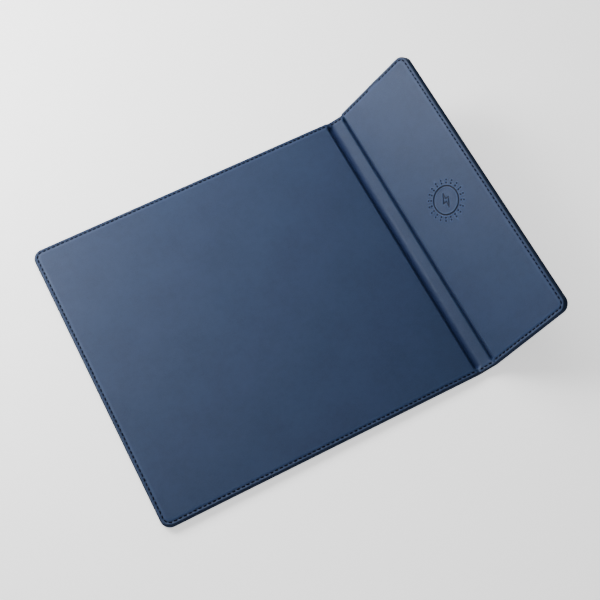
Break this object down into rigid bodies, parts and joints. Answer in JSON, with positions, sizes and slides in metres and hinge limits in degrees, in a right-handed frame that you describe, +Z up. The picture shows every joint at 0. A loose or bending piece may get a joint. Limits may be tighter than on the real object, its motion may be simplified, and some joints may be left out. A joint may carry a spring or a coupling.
{
  "type": "folding desk mat with charging flap",
  "caption": "Padded leatherette desk mat joined by a narrow folding spine to a raised flap that holds a wireless charging coil.",
  "frame": {"origin": "centre of the mat's underside, on the desk", "axes": "+X from the mat to the charging flap, +Y to the side with the charging port, +Z up from the desk"},
  "size_m": [0.3092, 0.23, 0.0588],
  "materials": {
    "leatherette_face": "fine-grained, semi-matt",
    "leatherette_back": "fine-grained, matt",
    "thread": "twisted thread",
    "foam": "open foam",
    "board": "pressed fibre board",
    "case_plastic": "fine spark texture",
    "ferrite": "matt ceramic",
    "tape": "film",
    "copper_wire": "enamelled copper",
    "sensor_bead": "epoxy bead",
    "circuit_board": "solder mask",
    "chip_plastic": "moulded",
    "ceramic": "fired ceramic",
    "led_lens": "clear",
    "port_steel": "satin",
    "screw_steel": "plain",
    "gold_contacts": "plated"
  },
  "bodies": {
    "mat": {"pad_top_cover": "leatherette_face", "pad_bottom_cover": "leatherette_back", "pad_foam": "foam", "pad_board": "board", "pad_top_stitches": "thread", "pad_bottom_stitches": "thread"},
    "spine": {"spine_top_cover": "leatherette_face", "spine_bottom_cover": "leatherette_back", "spine_board": "board", "spine_top_stitches": "thread", "spine_bottom_stitches": "thread"},
    "flap": {"flap_top_cover": "leatherette_face", "flap_bottom_cover": "leatherette_back", "flap_foam": "foam", "flap_frame": "board", "case_base": "case_plastic", "case_lid": "case_plastic", "ferrite_plate": "ferrite", "coil_tape": "tape", "coil_winding": "copper_wire", "coil_leads": "copper_wire", "temperature_sensor": "sensor_bead", "circuit_board": "circuit_board", "controller_chip": "chip_plastic", "input_choke": "ferrite", "indicator_led": "led_lens", "usb_c_shell": "port_steel", "usb_c_tongue": "chip_plastic", "usb_c_contacts": "gold_contacts", "port_bezel": "case_plastic", "flap_top_stitches": "thread", "flap_bottom_stitches": "thread", "case_screw_1": "screw_steel", "power_transistor_1": "chip_plastic", "resonance_capacitor_1": "ceramic", "case_screw_2": "screw_steel", "power_transistor_2": "chip_plastic", "resonance_capacitor_2": "ceramic", "case_screw_3": "screw_steel", "power_transistor_3": "chip_plastic", "resonance_capacitor_3": "ceramic", "case_screw_4": "screw_steel", "power_transistor_4": "chip_plastic", "resonance_capacitor_4": "ceramic", "input_capacitor_1": "ceramic", "input_capacitor_2": "ceramic"}
  },
  "joints": [
    {"name": "pad_crease_fold", "type": "hinge", "parent": "mat", "child": "spine", "pos_m": [0.1225, 0, 0.0009], "axis": [0, -1, 0], "range_deg": [-18, 72]},
    {"name": "flap_crease_fold", "type": "hinge", "parent": "spine", "child": "flap", "pos_m": [0.13581, 0, 0.00523], "axis": [0, -1, 0], "range_deg": [-27, 63]}
  ]
}
